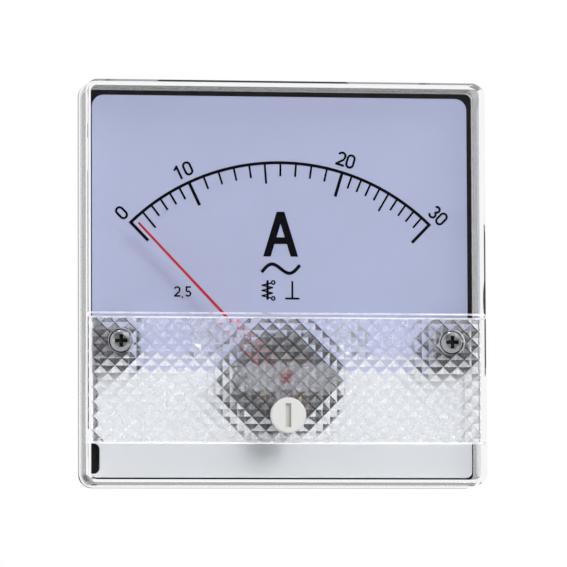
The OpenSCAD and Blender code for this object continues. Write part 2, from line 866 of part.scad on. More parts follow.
// Digit of height h about its own centre.
module digit(n, h) {
    w = number_line_w * h / number_h;
    r = 0.31 * h;
    if (n == 0) {
        for (side = [-1, 1]) {
            translate([side * (r - w / 2), 0])
                square([w, h - 2 * r + 0.02], center = true);
            translate([0, side * (h / 2 - r)])
                arc_line(r - w / 2, w, 90 * side - 90, 90 * side + 90);
        }
    }
    if (n == 1) {
        translate([-w / 2, -h / 2])
            square([w, h]);
        stroke([0, h / 2 - 0.6 * w], [-0.26 * h, 0.24 * h], w);
    }
    if (n == 2) {
        translate([0, h / 2 - r])
            arc_line(r - w / 2, w, 0, 165);
        translate([0, h / 2 - r])
            arc_line(r - w / 2, w, -40, 1);
        stroke([r * 0.72, 0.02 * h], [-r + w * 0.6, -h / 2 + w * 0.7], w);
        translate([-r, -h / 2])
            square([2 * r, w]);
    }
    if (n == 3) {
        translate([0, h / 2 - 0.27 * h])
            arc_line(0.27 * h - w / 2, w, 30, 160);
        translate([0, h / 2 - 0.27 * h])
            arc_line(0.27 * h - w / 2, w, -90, 31);
        translate([0, 0.29 * h - h / 2])
            arc_line(0.29 * h - w / 2, w, -30, 90);
        translate([0, 0.29 * h - h / 2])
            arc_line(0.29 * h - w / 2, w, -160, -29);
    }
    if (n == 5) {
        translate([-0.24 * h, h / 2 - w])
            square([0.5 * h, w]);
        translate([-0.24 * h, 0])
            square([w, h / 2]);
        translate([0, 0.3 * h - h / 2])
            arc_line(0.3 * h - w / 2, w, -30, 130);
        translate([0, 0.3 * h - h / 2])
            arc_line(0.3 * h - w / 2, w, -150, -29);
    }
}

// Accuracy class: two and a half.
module class_number() {
    h = 0.72 * number_h;
    translate([-0.5 * h, 0])
        digit(2, h);
    stroke([0.02, -h / 2 + 0.1], [-0.1, -h / 2 - 0.3], 0.26);
    translate([0.54 * h, 0])
        digit(5, h);
}

// Bold capital A, on its foot line.
module unit_letter() {
    foot = 0.215 * unit_w;
    top = 0.22 * unit_w;
    lean = (unit_w - top) / 2 / unit_h;
    bar_low = 0.28 * unit_h;
    bar_high = 0.43 * unit_h;
    foot_gap = unit_w / 2 - foot;
    difference() {
        polygon([[-unit_w / 2, 0], [-top / 2, unit_h], [top / 2, unit_h], [unit_w / 2, 0]]);
        polygon([
            [-foot_gap - lean * past, -past], [foot_gap + lean * past, -past],
            [foot_gap - lean * bar_low, bar_low], [-foot_gap + lean * bar_low, bar_low]
        ]);
        polygon([
            [-foot_gap + lean * bar_high, bar_high], [foot_gap - lean * bar_high, bar_high],
            [0, foot_gap / lean]
        ]);
    }
}

// One wave: alternating current.
module wave_symbol() {
    half_w = 3.85;
    high = 0.9;
    line = 0.66;
    steps = 36;
    // A sine that runs a little past its ends, where it steepens.
    function mid(u) = [half_w * (1.18 * u - 0.18 * pow(u, 3)), high * sin(180 + 232 * u)];
    function across(u) =
        let (v = mid(u + 0.001) - mid(u - 0.001))
        [-v[1], v[0]] / norm(v);
    us = [for (i = [0 : steps]) 2 * i / steps - 1];
    polygon(concat(
        [for (u = us) mid(u) + across(u) * line / 2],
        [for (i = [steps : -1 : 0]) mid(us[i]) - across(us[i]) * line / 2]
    ));
}

// Moving-iron instrument: an iron bar through a coil with two terminals.
module coil_symbol() {
    w = 0.28;
    bar_x = -0.35;
    path = [
        [0.85, 1.42], [0.1, 1.24], [-1.1, 0.94], [1, 0.47], [-1.1, -0.09], [1, -0.6], [-1.1, -1.13],
        [0.1, -1.45], [0.85, -1.6]
    ];
    translate([bar_x, 0]) {
        translate([-0.23, -1.93])
            square([0.46, 3.86]);
        for (i = [1 : len(path) - 1])
            stroke(path[i - 1], path[i], w);
        for (i = [1 : len(path) - 2])
            translate(path[i])
                circle(d = w, $fn = 24);
        for (z = [1.5, -1.66])
            translate([1.14, z])
                difference() {
                    circle(0.33 + w / 2, $fn = 48);
                    circle(0.33 - w / 2, $fn = 48);
                }
    }
}

// Instrument for an upright panel.
module upright_symbol() {
    translate([-0.19, -1.85])
        square([0.38, 3.65]);
    translate([-1.45, -1.85])
        square([2.9, 0.38]);
}

// ---- Lower shield ----

module lower_shield() {
    top_z = dial_bottom_z - shield_gap;
    color([0.95, 0.95, 0.95]) {
        slab(dial_back_y, shield_t)
            difference() {
                translate([(shield_right - shield_left) / 2, (top_z - shield_bottom) / 2])
                    round_square(shield_left + shield_right, shield_bottom + top_z, 1.2);
                translate([-shield_left, notch_z])
                    round_square(2 * notch_w, notch_h, 1.2);
                intersection() {
                    translate([0, pivot_z])
                        circle(opening_r);
                    translate([-opening_r, shield_sill_z])
                        square(2 * opening_r);
                }
            }
        both_sides(peg_x, peg_z)
            rod(peg_d, dial_back_y - 0.01, dial_back_y + peg_l);
    }
}

// ---- Movement: front ----

module movement_frame() {
    color([0.1, 0.1, 0.11])
        difference() {
            slab(frame_back_y, frame_t)
                intersection() {
                    circle(barrel_inner_r - 0.4);
                    translate([-frame_half, frame_bottom_z])
                        square([2 * frame_half, frame_top_z - frame_bottom_z]);
                }
            at_pivot()
                rod(2 * former_bore_r, dial_back_y - past, frame_back_y + past);
            both_sides(frame_screw_x, frame_screw_z)
                sunk_hole(frame_screw_d);
            both_sides(foot_screw_x, pivot_z)
                sunk_hole(small_screw_d);
            both_sides(dial_screw_x, dial_screw_z)
                rod(small_screw_d + 2 * snug, dial_back_y - past, frame_back_y + past);
            both_sides(pillar_x, pivot_z)
                rod(bridge_screw_d + 2 * snug, dial_back_y - past, dial_back_y + 1.6);
            for (a = stop_angles)
                at_stop(a)
                    rod(stop_d + 2 * snug, dial_back_y - past, dial_back_y + 1.1);
        }
}

module at_stop(a) {
    translate([stop_r * sin(a), 0, pivot_z + stop_r * cos(a)])
        children();
}

// Sizes of a countersunk screw of diameter d, whose head is just below the frame's front.
function sink_d(d) = 1.9 * d;
function sink_h(d) = 0.45 * d;

module sunk_hole(d) {
    rod(d + 2 * snug, dial_back_y - past, frame_back_y + past);
    cone(sink_d(d) + 0.1, d + 0.1, dial_back_y + 0.1, dial_back_y + 0.1 + sink_h(d));
    rod(sink_d(d) + 0.1, dial_back_y - past, dial_back_y + 0.1);
}

module sunk_screw(d, y_tip) {
    y = dial_back_y + 0.1;
    difference() {
        turned([
            [0, y], [sink_d(d) / 2, y], [d / 2, y + sink_h(d)], [d / 2, y_tip - 0.3],
            [d / 2 - 0.3, y_tip], [0, y_tip]
        ]);
        translate([-d, y - past, -0.25])
            cube([2 * d, past + 0.5, 0.5]);
    }
}

module frame_screws() {
    color("silver")
        both_sides(frame_screw_x, frame_screw_z)
            sunk_screw(frame_screw_d, frame_back_y + 8);
}

module bridge_pillars() {
    color("goldenrod")
        both_sides(pillar_x, pivot_z)
            difference() {
                union() {
                    rod(pillar_d, bridge_back_y, dial_back_y);
                    rod(bridge_screw_d, bridge_back_y + past, dial_back_y + 1.5);
                }
                rod(bridge_screw_d + 2 * snug, bridge_back_y - past, bridge_back_y + 2.2);
            }
}

module front_bridge() {
    end_x = pillar_x + pillar_d / 2 + 0.3;
    color("silver")
        at_pivot()
            slab(bridge_back_y, bridge_t)
                difference() {
                    union() {
                        square([2 * end_x - bridge_w, bridge_w], center = true);
                        for (side = [-1, 1])
                            translate([side * (end_x - bridge_w / 2), 0])
                                circle(bridge_w / 2);
                    }
                    circle(jewel_screw_d / 2 + snug);
                    for (side = [-1, 1])
                        translate([side * pillar_x, 0])
                            circle(bridge_screw_d / 2 + 0.1);
                }
}

module bridge_screws() {
    head_r = bridge_screw_d;
    color("silver")
        both_sides(pillar_x, pivot_z)
            difference() {
                turned([
                    [0, bridge_front_y - bridge_head_h], [head_r - 0.2, bridge_front_y - bridge_head_h],
                    [head_r, bridge_front_y - 0.4], [head_r, bridge_front_y],
                    [bridge_screw_d / 2, bridge_front_y], [bridge_screw_d / 2, bridge_back_y + 2.1],
                    [0, bridge_back_y + 2.1]
                ]);
                translate([-2, bridge_front_y - bridge_head_h - past, -0.2])
                    cube([4, past + 0.35, 0.4]);
            }
}

module front_jewel_screw() {
    front_y = bridge_front_y - bridge_head_h;
    color("goldenrod")
        at_pivot()
            difference() {
                rod(jewel_screw_d, front_y, jewel_screw_rear_y);
                rod(jewel_d + 2 * snug, jewel_screw_rear_y - jewel_t, jewel_screw_rear_y + past);
                translate([-2, front_y - past, -0.25])
                    cube([4, past + 0.4, 0.5]);
            }
}

module front_lock_nut() {
    color("goldenrod")
        at_pivot()
            nut(4.5, jewel_screw_d + 2 * snug, bridge_front_y - front_nut_t, bridge_front_y);
}

// Jewel with its cup at the given face; facing is 1 where the cup opens towards +Y.
module jewel(face_y, facing) {
    translate([0, face_y, 0])
        mirror([0, facing > 0 ? 0 : 1, 0])
            turned([
                [0, -jewel_t], [jewel_d / 2, -jewel_t], [jewel_d / 2, 0], [cup_r, 0],
                [0, -cup_depth]
            ]);
}

module front_jewel() {
    color("crimson")
        at_pivot()
            jewel(jewel_screw_rear_y, 1);
}

module lever_washer() {
    color("silver")
        at_pivot()
            ring(4.6, jewel_screw_d + 2 * snug, bridge_back_y, lever_front_y);
}

module zero_lever() {
    arm_half = crank_pin_d / 2 + fork_gap + 0.8;
    tab_top = spring_r + spring_tab_t;
    color([0.75, 0.6, 0.3])
        at_pivot() {
            slab(lever_back_y, lever_t)
                difference() {
                    union() {
                        circle(lever_ring_r);
                        translate([-arm_half, -lever_reach])
                            square([2 * arm_half, lever_reach]);
                        translate([-0.6, 0])
                            square([1.2, tab_top]);
                    }
                    circle(jewel_screw_d / 2 + running);
                    translate([-crank_pin_d / 2 - fork_gap, -lever_reach - past])
                        square([crank_pin_d + 2 * fork_gap, past + 2.9]);
                }
            translate([-0.6, lever_back_y - 0.01, spring_r])
                cube([1.2, hub_front_y - 0.1 - lever_back_y, spring_tab_t]);
        }
}

// Flat spiral from just outside the collet to the lever's tab.
module hairspring() {
    start_r = collet_r + 0.15;
    end_r = spring_r - spring_t / 2;
    steps = 30;
    count = steps * spring_turns;
    function spiral(i, side) =
        let (a = 90 - 360 * spring_turns * (1 - i / count))
        let (r = start_r + (end_r - start_r) * i / count + side * spring_t / 2)
        [r * cos(a), r * sin(a)];
    color([0.75, 0.55, 0.25])
        at_pivot()
            slab(hub_front_y - 0.1, collet_l - 0.2)
                polygon(concat(
                    [for (i = [0 : count]) spiral(i, 1)],
                    [for (i = [count : -1 : 0]) spiral(i, -1)]
                ));
}

module spring_collet() {
    color("goldenrod")
        at_pivot()
            ring(2 * collet_r, spindle_d + 2 * snug, collet_front_y, hub_front_y);
}

// ---- Movement: what swings ----

module pointer() {
    blade_front_y = blade_back_y - blade_t;
    color([0.78, 0.1, 0.1])
        at_pivot()
            rotate([0, rest_angle, 0])
                difference() {
                    union() {
                        rod(2 * hub_r, hub_front_y, hub_back_y);
                        slab(blade_back_y, blade_t) {
                            polygon([
                                [-pointer_root_w / 2, 0], [pointer_root_w / 2, 0],
                                [pointer_tip_w / 2, pointer_r], [-pointer_tip_w / 2, pointer_r]
                            ]);
                            translate([-arm_w() / 2, -tail_r])
                                square([arm_w(), tail_r]);
                            translate([-arm_r, -arm_w() / 2])
                                square([2 * arm_r, arm_w()]);
                        }
                    }
                    rod(spindle_d + 2 * snug, blade_front_y - 2, hub_back_y + past);
                }
}

function arm_w() = 0.6;

// Brass collars on the tail and on both side arms.
module balance_weights() {
    y = blade_back_y - blade_t / 2;
    bore = norm([arm_w(), blade_t]) + 2 * snug;
    color("goldenrod")
        at_pivot()
            rotate([0, rest_angle, 0])
                for (place = [[90, arm_r], [-90, arm_r], [180, tail_r]])
                    rotate([0, place[0], 0])
                        translate([0, y, place[1] - weight_l - 0.15])
                            difference() {
                                cylinder(d = weight_d, h = weight_l);
                                translate([0, 0, -past])
                                    cylinder(d = bore, h = weight_l + 2 * past);
                            }
}

module stop_pins() {
    color("silver")
        for (a = stop_angles)
            at_stop(a)
                rod(stop_d, blade_back_y - blade_t - 0.3, dial_back_y + 1);
}

module spindle() {
    front_y = collet_front_y;
    back_y = rear_screw_front_y - pivot_gap;
    color("silver")
        at_pivot()
            turned([
                [0, jewel_screw_rear_y - pivot_tip_l + pivot_gap],
                [pivot_tip_r, jewel_screw_rear_y + pivot_gap], [pivot_tip_r, front_y],
                [spindle_d / 2, front_y], [spindle_d / 2, back_y - 0.4], [pivot_tip_r, back_y - 0.4],
                [pivot_tip_r, back_y], [0, back_y + pivot_tip_l]
            ]);
}

// A curved strip on a web and a collar.
module moving_iron() {
    color([0.55, 0.56, 0.58])
        at_pivot()
            rotate([0, rest_angle + 180, 0]) {
                slab(iron_front_y + iron_l, iron_l)
                    arc_line(moving_iron_r - iron_t / 2, iron_t, 78, 102);
                slab(iron_front_y + 2, 2)
                    difference() {
                        union() {
                            circle(spindle_d / 2 + 0.55);
                            translate([-iron_t / 2, 0])
                                square([iron_t, moving_iron_r - iron_t / 2]);
                        }
                        circle(spindle_d / 2 + snug);
                    }
            }
}

module damping_disc() {
    color([0.82, 0.83, 0.85])
        at_pivot()
            difference() {
                union() {
                    rod(2 * disc_r, gap_mid_y - disc_t / 2, gap_mid_y + disc_t / 2);
                    rod(spindle_d + 1.6, gap_mid_y - disc_t / 2 - 0.6, gap_mid_y + disc_t / 2);
                }
                rod(spindle_d + 2 * snug, gap_mid_y - past - 1, gap_mid_y + past);
                for (a = [45 : 90 : 315])
                    rotate([0, a, 0])
                        translate([0, 0, 0.36 * disc_r])
                            rod(0.27 * disc_r, gap_mid_y - past, gap_mid_y + past);
            }
}

// ---- Movement: coil, magnet and rear bearing ----

module fixed_iron() {
    color([0.55, 0.56, 0.58])
        at_pivot()
            tube_sector(fixed_iron_r, iron_t, 120, rest_angle + 120, iron_front_y, iron_front_y + iron_l);
}

module coil_former() {
    color([0.9, 0.88, 0.8])
        difference() {
            union() {
                at_pivot() {
                    rod(2 * core_r, frame_back_y, former_back_y);
                    rod(2 * former_flange_r, frame_back_y, frame_back_y + former_flange_t);
                    rod(2 * former_flange_r, former_back_y - former_flange_t, former_back_y);
                    slab(frame_back_y + former_flange_t, former_flange_t)
                        square([2 * foot_end_x, 2 * strap_half], center = true);
                }
                slab(former_back_y, former_flange_t)
                    translate([-magnet_w / 2 - 1, pivot_z])
                        square([magnet_w + 2, yoke_top_z - pivot_z]);
            }
            at_pivot()
                rod(2 * former_bore_r, frame_back_y - past, former_back_y + past);
            both_sides(foot_screw_x, pivot_z)
                rod(small_screw_d + 2 * snug, frame_back_y - past, frame_back_y + former_flange_t + past);
            both_sides(rivet_x, rivet_z)
                rod(rivet_d + 2 * snug, former_back_y - 2 * past, former_back_y + past);
        }
}

// Two layers of turns that lie against each other, with both leads. A turn is drawn eight-sided.
module coil_winding() {
    color([0.72, 0.4, 0.2]) {
        at_pivot()
            rotate([90, 0, 0])
                rotate_extrude() {
                    translate([layer_r[0], -coil_back_y])
                        square([layer_r[1] - layer_r[0], coil_back_y - coil_front_y]);
                    for (r = layer_r, i = [0 : turns_per_layer - 1])
                        translate([r, -coil_front_y - i * coil_step()])
                            rotate(22.5)
                                circle(wire_r, $fn = 8);
                }
        lead(-1, coil_front_y);
        lead(1, coil_back_y);
    }
}

function coil_step() = (coil_back_y - coil_front_y) / (turns_per_layer - 1);

// Lead from a turn's side, up past the flanges and back to its terminal's lug.
module lead(side, y) {
    r = layer_r[1];
    route = [
        [side * (r - 0.6), y, pivot_z - 1], [side * (r + 0.6), y, lead_z - 2],
        [side * terminal_x, y + 4.5, lead_z], [side * terminal_x, lug_barrel_y - 3, lead_z],
        [side * terminal_x, lug_barrel_y, lug_barrel_top_z - lug_barrel_l - 0.4],
        [side * terminal_x, lug_barrel_y, lug_barrel_top_z - wire_r - 0.3]
    ];
    for (i = [1 : len(route) - 1])
        bar(route[i - 1], route[i], wire_d - 0.04);
}

module coil_lugs() {
    tongue_low = lug_barrel_top_z - 0.01;
    color([0.8, 0.78, 0.74])
        both_sides(terminal_x, 0)
            difference() {
                union() {
                    translate([0, 0, terminal_z])
                        rod(terminal_washer_d, lug_front_y, floor_y);
                    translate([-lug_barrel_r, lug_front_y, tongue_low])
                        cube([2 * lug_barrel_r, lug_t, terminal_z - tongue_low]);
                    translate([0, lug_barrel_y, lug_barrel_top_z - lug_barrel_l])
                        cylinder(r = lug_barrel_r, h = lug_barrel_l + 0.6);
                }
                translate([0, 0, terminal_z])
                    rod(terminal_d + 0.3, lug_front_y - past, floor_y + past);
                translate([0, lug_barrel_y, lug_barrel_top_z - lug_barrel_l - past])
                    cylinder(r = wire_r + snug, h = lug_barrel_l + past - 0.2);
            }
}

module damping_magnets() {
    color([0.3, 0.3, 0.33])
        for (y = [gap_mid_y - magnet_gap / 2 - magnet_t, gap_mid_y + magnet_gap / 2])
            translate([-magnet_w / 2, y, magnet_bottom_z])
                cube([magnet_w, magnet_t, magnet_top_z - magnet_bottom_z]);
}

module magnet_yoke() {
    h = yoke_top_z - magnet_bottom_z;
    color([0.6, 0.6, 0.62])
        difference() {
            translate([-magnet_w / 2, former_back_y, magnet_bottom_z])
                cube([magnet_w, yoke_back_y - former_back_y, h]);
            translate([-magnet_w / 2 - past, former_back_y + yoke_t, magnet_bottom_z - past])
                cube([magnet_w + 2 * past, yoke_back_y - former_back_y - 2 * yoke_t, h + past - yoke_t]);
            both_sides(rivet_x, rivet_z)
                rod(rivet_d + 2 * snug, former_back_y - past, former_back_y + yoke_t + past);
        }
}

module yoke_rivets() {
    color("silver")
        both_sides(rivet_x, rivet_z) {
            rod(rivet_d, former_back_y - former_flange_t, former_back_y + yoke_t);
            rod(1.6 * rivet_d, former_back_y - former_flange_t - 0.4, former_back_y - former_flange_t);
            rod(1.6 * rivet_d, former_back_y + yoke_t, former_back_y + yoke_t + 0.4);
        }
}

// Strip bent to a U, with two feet screwed to the frame through the former's ears.
module rear_bridge() {
    foot_y = frame_back_y + former_flange_t;
    color([0.75, 0.75, 0.77])
        at_pivot()
            difference() {
                union() {
                    translate([-leg_x - strip_t, rear_strap_y, -strap_half])
                        cube([2 * (leg_x + strip_t), strip_t, 2 * strap_half]);
                    for (side = [-1, 1]) {
                        translate([side * (leg_x + strip_t / 2), (foot_y + rear_strap_back_y) / 2, 0])
                            cube([strip_t, rear_strap_back_y - foot_y, 2 * strap_half], center = true);
                        translate([side * (leg_x + foot_end_x) / 2, foot_y + strip_t / 2, 0])
                            cube([foot_end_x - leg_x, strip_t, 2 * strap_half], center = true);
                    }
                }
                rod(jewel_screw_d + 2 * snug, rear_strap_y - past, rear_strap_back_y + past);
                both_sides(foot_screw_x, 0)
                    rod(small_screw_d + 2 * snug, foot_y - past, foot_y + strip_t + past);
            }
}

module rear_bridge_screws() {
    color("silver")
        both_sides(foot_screw_x, pivot_z)
            sunk_screw(small_screw_d, frame_back_y + former_flange_t + strip_t + 1);
}

module rear_jewel_screw() {
    color("goldenrod")
        at_pivot()
            difference() {
                rod(jewel_screw_d, rear_screw_front_y, rear_screw_back_y);
                rod(jewel_d + 2 * snug, rear_screw_front_y - past, rear_screw_front_y + jewel_t);
                translate([-2, rear_screw_back_y - 0.5, -0.25])
                    cube([4, past, 0.5]);
            }
}

module rear_lock_nut() {
    color("goldenrod")
        at_pivot()
            nut(4.5, jewel_screw_d + 2 * snug, rear_strap_back_y, rear_strap_back_y + rear_nut_t);
}

module rear_jewel() {
    color("crimson")
        at_pivot()
            jewel(rear_screw_front_y, -1);
}

// ---- Terminals ----

module terminal_studs() {
    color([0.8, 0.72, 0.45])
        both_sides(terminal_x, terminal_z) {
            rod(terminal_nut_w / cos(30), terminal_head_y, lug_front_y, $fn = 6);
            turned([
                [0, lug_front_y - 0.01], [terminal_d / 2, lug_front_y - 0.01],
                [terminal_d / 2, terminal_end_y - 0.8], [terminal_d / 2 - 0.8, terminal_end_y],
                [0, terminal_end_y]
            ]);
        }
}

module terminal_washers() {
    color("silver")
        both_sides(terminal_x, terminal_z)
            ring(terminal_washer_d, terminal_d + 0.3, barrel_depth, clamp_nut_y);
}

module terminal_nuts() {
    color([0.8, 0.72, 0.45])
        both_sides(terminal_x, terminal_z)
            nut(terminal_nut_w, terminal_d + 2 * snug, clamp_nut_y, lug_washer_y);
}

module lug_washers() {
    color("silver")
        both_sides(terminal_x, terminal_z)
            ring(terminal_washer_d, terminal_d + 0.3, lug_washer_y, spring_washer_y);
}

module lug_spring_washers() {
    w = 2;
    color([0.5, 0.5, 0.52])
        both_sides(terminal_x, terminal_z)
            tube_sector(terminal_d / 2 + 0.1 + w, w, 350, 0, spring_washer_y, lug_nut_y);
}

module lug_nuts() {
    color([0.8, 0.72, 0.45])
        both_sides(terminal_x, terminal_z)
            nut(terminal_nut_w, terminal_d + 2 * snug, lug_nut_y, lug_nut_y + terminal_nut_t);
}

front_cover();
cover_screws();
zero_adjuster();
adjuster_clip();
case();
mounting_studs();
dial_plate();
dial_print();
dial_screws();
lower_shield();
movement_frame();
frame_screws();
bridge_pillars();
front_bridge();
bridge_screws();
front_jewel_screw();
front_lock_nut();
front_jewel();
lever_washer();
zero_lever();
hairspring();
spring_collet();
pointer();
balance_weights();
stop_pins();
spindle();
moving_iron();
fixed_iron();
coil_former();
coil_winding();
damping_disc();
damping_magnets();
magnet_yoke();
yoke_rivets();
rear_bridge();
rear_bridge_screws();
rear_jewel_screw();
rear_lock_nut();
rear_jewel();
coil_lugs();
terminal_studs();
terminal_washers();
terminal_nuts();
lug_washers();
lug_spring_washers();
lug_nuts();
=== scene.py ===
"""Looks of the square panel ammeter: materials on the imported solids, threads on its studs, and its studio.

Metres, in the CAD frame: X to the viewer's right, Z up, and Y into the panel, so the front faces -Y.
"""

import math

import bmesh
import bpy
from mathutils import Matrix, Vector


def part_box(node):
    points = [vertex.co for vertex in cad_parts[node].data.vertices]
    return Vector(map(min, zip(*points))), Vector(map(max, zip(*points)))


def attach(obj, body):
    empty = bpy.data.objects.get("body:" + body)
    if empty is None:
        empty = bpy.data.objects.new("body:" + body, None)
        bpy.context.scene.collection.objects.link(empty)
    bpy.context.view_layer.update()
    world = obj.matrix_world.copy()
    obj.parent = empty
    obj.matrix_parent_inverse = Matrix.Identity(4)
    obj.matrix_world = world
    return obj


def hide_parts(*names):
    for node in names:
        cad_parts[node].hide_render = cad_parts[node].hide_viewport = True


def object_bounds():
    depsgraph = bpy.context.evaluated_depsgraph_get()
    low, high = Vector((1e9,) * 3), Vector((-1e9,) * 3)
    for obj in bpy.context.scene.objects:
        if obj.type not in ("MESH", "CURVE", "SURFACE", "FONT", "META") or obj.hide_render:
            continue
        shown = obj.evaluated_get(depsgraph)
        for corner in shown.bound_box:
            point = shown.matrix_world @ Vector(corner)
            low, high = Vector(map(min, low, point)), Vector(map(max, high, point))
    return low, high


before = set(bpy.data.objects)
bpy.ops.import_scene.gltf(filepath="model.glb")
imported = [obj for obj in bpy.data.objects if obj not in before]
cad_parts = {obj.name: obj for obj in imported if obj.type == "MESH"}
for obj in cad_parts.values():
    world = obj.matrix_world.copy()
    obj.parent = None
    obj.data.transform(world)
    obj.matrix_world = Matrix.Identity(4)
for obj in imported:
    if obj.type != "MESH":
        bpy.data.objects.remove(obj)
size_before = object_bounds()

MM = 0.001

# ---- Colours ----


def srgb(r, g, b):
    """A linear colour from an sRGB one whose parts run from 0 to 255."""
    parts = [c / 255 for c in (r, g, b)]
    return tuple(c / 12.92 if c <= 0.04045 else ((c + 0.055) / 1.055) ** 2.4 for c in parts) + (1.0,)


def shade(colour, share):
    """The colour made darker or lighter by a share."""
    return tuple(min(c * share, 1.0) for c in colour[:3]) + (1.0,)


# ---- Node helpers ----


def new_material(name):
    """An empty node material, with its tree and its output."""
    material = bpy.data.materials.new(name)
    material.use_nodes = True
    tree = material.node_tree
    tree.nodes.clear()
    return material, tree, tree.nodes.new("ShaderNodeOutputMaterial")


def noise(tree, scale, detail=3.0, stretch=(1, 1, 1)):
    """Noise in the object's own coordinates; scale is in waves a metre."""
    coordinates = tree.nodes.new("ShaderNodeTexCoord")
    mapping = tree.nodes.new("ShaderNodeMapping")
    mapping.inputs["Scale"].default_value = stretch
    texture = tree.nodes.new("ShaderNodeTexNoise")
    texture.inputs["Scale"].default_value = scale
    texture.inputs["Detail"].default_value = detail
    tree.links.new(coordinates.outputs["Object"], mapping.inputs["Vector"])
    tree.links.new(mapping.outputs["Vector"], texture.inputs["Vector"])
    return texture.outputs["Fac"]


# Most of a noise lies between these values.
NOISE_LOW, NOISE_HIGH = 0.3, 0.7


def spread(tree, value, low, high):
    """Maps noise to a range."""
    node = tree.nodes.new("ShaderNodeMapRange")
    node.inputs["From Min"].default_value = NOISE_LOW
    node.inputs["From Max"].default_value = NOISE_HIGH
    node.inputs["To Min"].default_value = low
    node.inputs["To Max"].default_value = high
    tree.links.new(value, node.inputs["Value"])
    return node.outputs["Result"]


def blend(tree, factor, first, second):
    """A colour between two, by a factor."""
    node = tree.nodes.new("ShaderNodeMix")
    node.data_type = "RGBA"
    node.inputs["A"].default_value = first
    node.inputs["B"].default_value = second
    tree.links.new(factor, node.inputs["Factor"])
    return node.outputs["Result"]


def bump(tree, value, distance, strength=0.5):
    """A normal from a height; distance is the height's depth in metres."""
    node = tree.nodes.new("ShaderNodeBump")
    node.inputs["Distance"].default_value = distance
    node.inputs["Strength"].default_value = strength
    tree.links.new(value, node.inputs["Height"])
    return node.outputs["Normal"]


# Waves of the broad noise a metre, and the share by which the fine noise varies a roughness.
BROAD_GRAIN = 90.0
ROUGH_VARY = 0.15


def surface(
    name, colour, rough, metal=0.0, gloss=0.5, coat=0.0,
    grain=1500.0, stretch=(1, 1, 1), depth=0.01 * MM, vary=0.06
):
    """An opaque material. Its colour, roughness and fine relief come from two noises.

    grain: waves of the fine noise a metre. stretch: how it is stretched along the axes.
    depth: height of the relief. vary: share by which the colour varies. coat: weight of a clear coat.
    gloss: how strongly a plastic or lacquer mirrors, where a half is usual.
    """
    material, tree, output = new_material(name)
    shader = tree.nodes.new("ShaderNodeBsdfPrincipled")
    fine = noise(tree, grain, 4.0, stretch)
    broad = noise(tree, BROAD_GRAIN, 2.0)
    tone = blend(tree, spread(tree, broad, 0.0, 1.0), shade(colour, 1 - vary), shade(colour, 1 + vary))
    tree.links.new(tone, shader.inputs["Base Color"])
    rougher = spread(tree, fine, rough * (1 - ROUGH_VARY), min(rough * (1 + ROUGH_VARY), 1.0))
    tree.links.new(rougher, shader.inputs["Roughness"])
    tree.links.new(bump(tree, fine, depth), shader.inputs["Normal"])
    shader.inputs["Metallic"].default_value = metal
    shader.inputs["Specular IOR Level"].default_value = gloss
    shader.inputs["Coat Weight"].default_value = coat
    tree.links.new(shader.outputs["BSDF"], output.inputs["Surface"])
    return material


def maths(tree, operation, first, second=None):
    """A Math node on two values, each a socket or a number."""
    node = tree.nodes.new("ShaderNodeMath")
    node.operation = operation
    for slot, value in enumerate((first, second)):
        if isinstance(value, (int, float)):
            node.inputs[slot].default_value = value
        elif value is not None:
            tree.links.new(value, node.inputs[slot])
    return node.outputs["Value"]


def ramp(tree, value, start, end, low, high):
    """Goes smoothly from low to high while the value goes from start to end."""
    node = tree.nodes.new("ShaderNodeMapRange")
    node.interpolation_type = "SMOOTHSTEP"
    for key, number in (("From Min", start), ("From Max", end), ("To Min", low), ("To Max", high)):
        node.inputs[key].default_value = number
    tree.links.new(value, node.inputs["Value"])
    return node.outputs["Result"]


# Acrylic: its tint, index of refraction, the colour of its haze, and the share of lamplight that passes.
CLEAR = (0.985, 0.99, 1.0, 1.0)
ACRYLIC_INDEX = 1.49
HAZE = srgb(250, 250, 255)
PASSING = 0.97
# Waves a metre of the smears on it, and its least roughness as a share of the most.
SMEAR_GRAIN = 160.0
LEAST_ROUGH = 0.4


